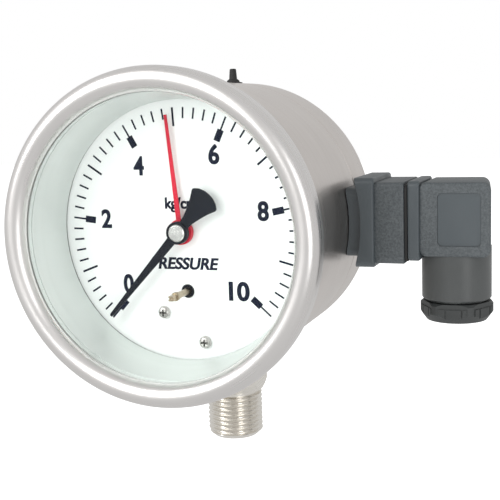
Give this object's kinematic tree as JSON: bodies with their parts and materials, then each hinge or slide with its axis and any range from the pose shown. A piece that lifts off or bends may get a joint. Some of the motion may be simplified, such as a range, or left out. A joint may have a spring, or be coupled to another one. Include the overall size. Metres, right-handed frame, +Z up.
{
  "type": "pressure switch",
  "caption": "Dial pressure gauge with an adjustable contact pointer, a bottom threaded stem and a side electrical plug with a cable gland.",
  "frame": {"origin": "centre of the stem's lower end face, on the stem's axis", "axes": "+Z up along the stem, -Y out through the dial, +X towards the electrical plug"},
  "size_m": [0.1529, 0.0937, 0.1394],
  "materials": {
    "case": "brushed round the axis, satin",
    "bezel": "satin polished",
    "spacer": "bright",
    "stem": "turned and milled",
    "fastener": "satin",
    "rubber": "matt",
    "glass": "clear, polished",
    "dial": "matt white with dark printed scale",
    "black_plastic": "satin",
    "dark_plastic": "fine texture",
    "grey_plastic": "fine spark-eroded texture",
    "brass": "machined",
    "bronze": "drawn",
    "silver": "satin silver plate",
    "pointer_black": "satin black",
    "set_red": "satin red",
    "lead_red": "smooth insulation",
    "lead_black": "smooth insulation",
    "lead_green": "smooth insulation"
  },
  "bodies": {
    "frame": {"case_shell": "case", "window_gasket": "rubber", "window": "glass", "spacer_ring": "spacer", "vent_plug": "rubber", "back_gasket": "rubber", "back_cover": "case", "blowout_disc": "rubber", "back_cover_screw_1": "fastener", "back_cover_screw_2": "fastener", "back_cover_screw_3": "fastener", "dial": "dial", "dial_screw_1": "fastener", "dial_screw_2": "fastener", "adjuster_bush": "black_plastic", "stem": "stem", "stem_seal": "rubber", "restrictor_screw": "brass", "bourdon_tube": "bronze", "movement_front_plate": "brass", "movement_back_plate": "brass", "movement_pillar_1": "brass", "movement_pillar_2": "brass", "movement_pillar_3": "brass", "movement_screw_1": "fastener", "movement_screw_2": "fastener", "dial_post_1": "brass", "dial_post_2": "brass", "hairspring": "bronze", "terminal_strip": "dark_plastic", "lead_common": "lead_red", "lead_contact": "lead_black", "lead_earth": "lead_green", "connector_base": "grey_plastic", "connector_pin_1": "silver", "connector_pin_2": "silver", "connector_pin_earth": "silver"},
    "bezel": {"bezel_ring": "bezel"},
    "pointer": {"pointer_shaft": "fastener", "pointer": "pointer_black", "pointer_cap": "silver", "contact_arm": "fastener", "moving_contact": "silver"},
    "sector": {"sector_gear": "brass"},
    "tube_end": {"tube_tip": "brass", "link": "brass"},
    "set_pointer": {"set_pointer": "set_red", "set_wheel": "brass", "contact_bracket": "fastener", "set_contact": "silver"},
    "adjuster": {"adjuster_spindle": "brass", "adjuster_pinion": "brass"},
    "plug": {"plug_housing": "grey_plastic", "contact_insert": "dark_plastic", "plug_screw": "fastener", "connector_gasket": "rubber", "gland_seal": "rubber", "gland_washer": "fastener", "gland_nut": "dark_plastic"}
  },
  "joints": [
    {"name": "pointer_turn", "type": "hinge", "parent": "frame", "child": "pointer", "pos_m": [0, -0.04, 0.084], "axis": [0, 1, 0], "range_deg": [0, 270], "stiffness_Nm_per_rad": 0.0002},
    {"name": "sector_swing", "type": "hinge", "parent": "frame", "child": "sector", "pos_m": [0, -0.024, 0.0672], "axis": [0, 1, 0], "range_deg": [-38.6, 0]},
    {"name": "tube_tip_travel", "type": "hinge", "parent": "frame", "child": "tube_end", "pos_m": [-0.136, -0.012, 0.08], "axis": [0, -1, 0], "range_deg": [0, 1.57], "deforming": ["bourdon_tube"]},
    {"name": "set_pointer_turn", "type": "hinge", "parent": "frame", "child": "set_pointer", "pos_m": [0, -0.04, 0.084], "axis": [0, 1, 0], "range_deg": [-132.3, 137.7]},
    {"name": "adjuster_spin", "type": "hinge", "parent": "frame", "child": "adjuster", "pos_m": [0.00107, -0.04, 0.06363], "axis": [0, 1, 0], "range_deg": [-331, 318]},
    {"name": "bezel_turn", "type": "hinge", "parent": "frame", "child": "bezel", "pos_m": [0, -0.06, 0.084], "axis": [0, -1, 0], "range_deg": [0, 24]},
    {"name": "plug_pull", "type": "slide", "parent": "frame", "child": "plug", "axis": [1, 0, 0], "range_m": [0, 0.02]}
  ],
  "couplings": [
    {"joint": "sector_swing", "follows": "pointer_turn", "ratio": -0.14286},
    {"joint": "tube_tip_travel", "follows": "pointer_turn", "ratio": 0.0058137},
    {"joint": "adjuster_spin", "follows": "set_pointer_turn", "ratio": -2.4}
  ]
}
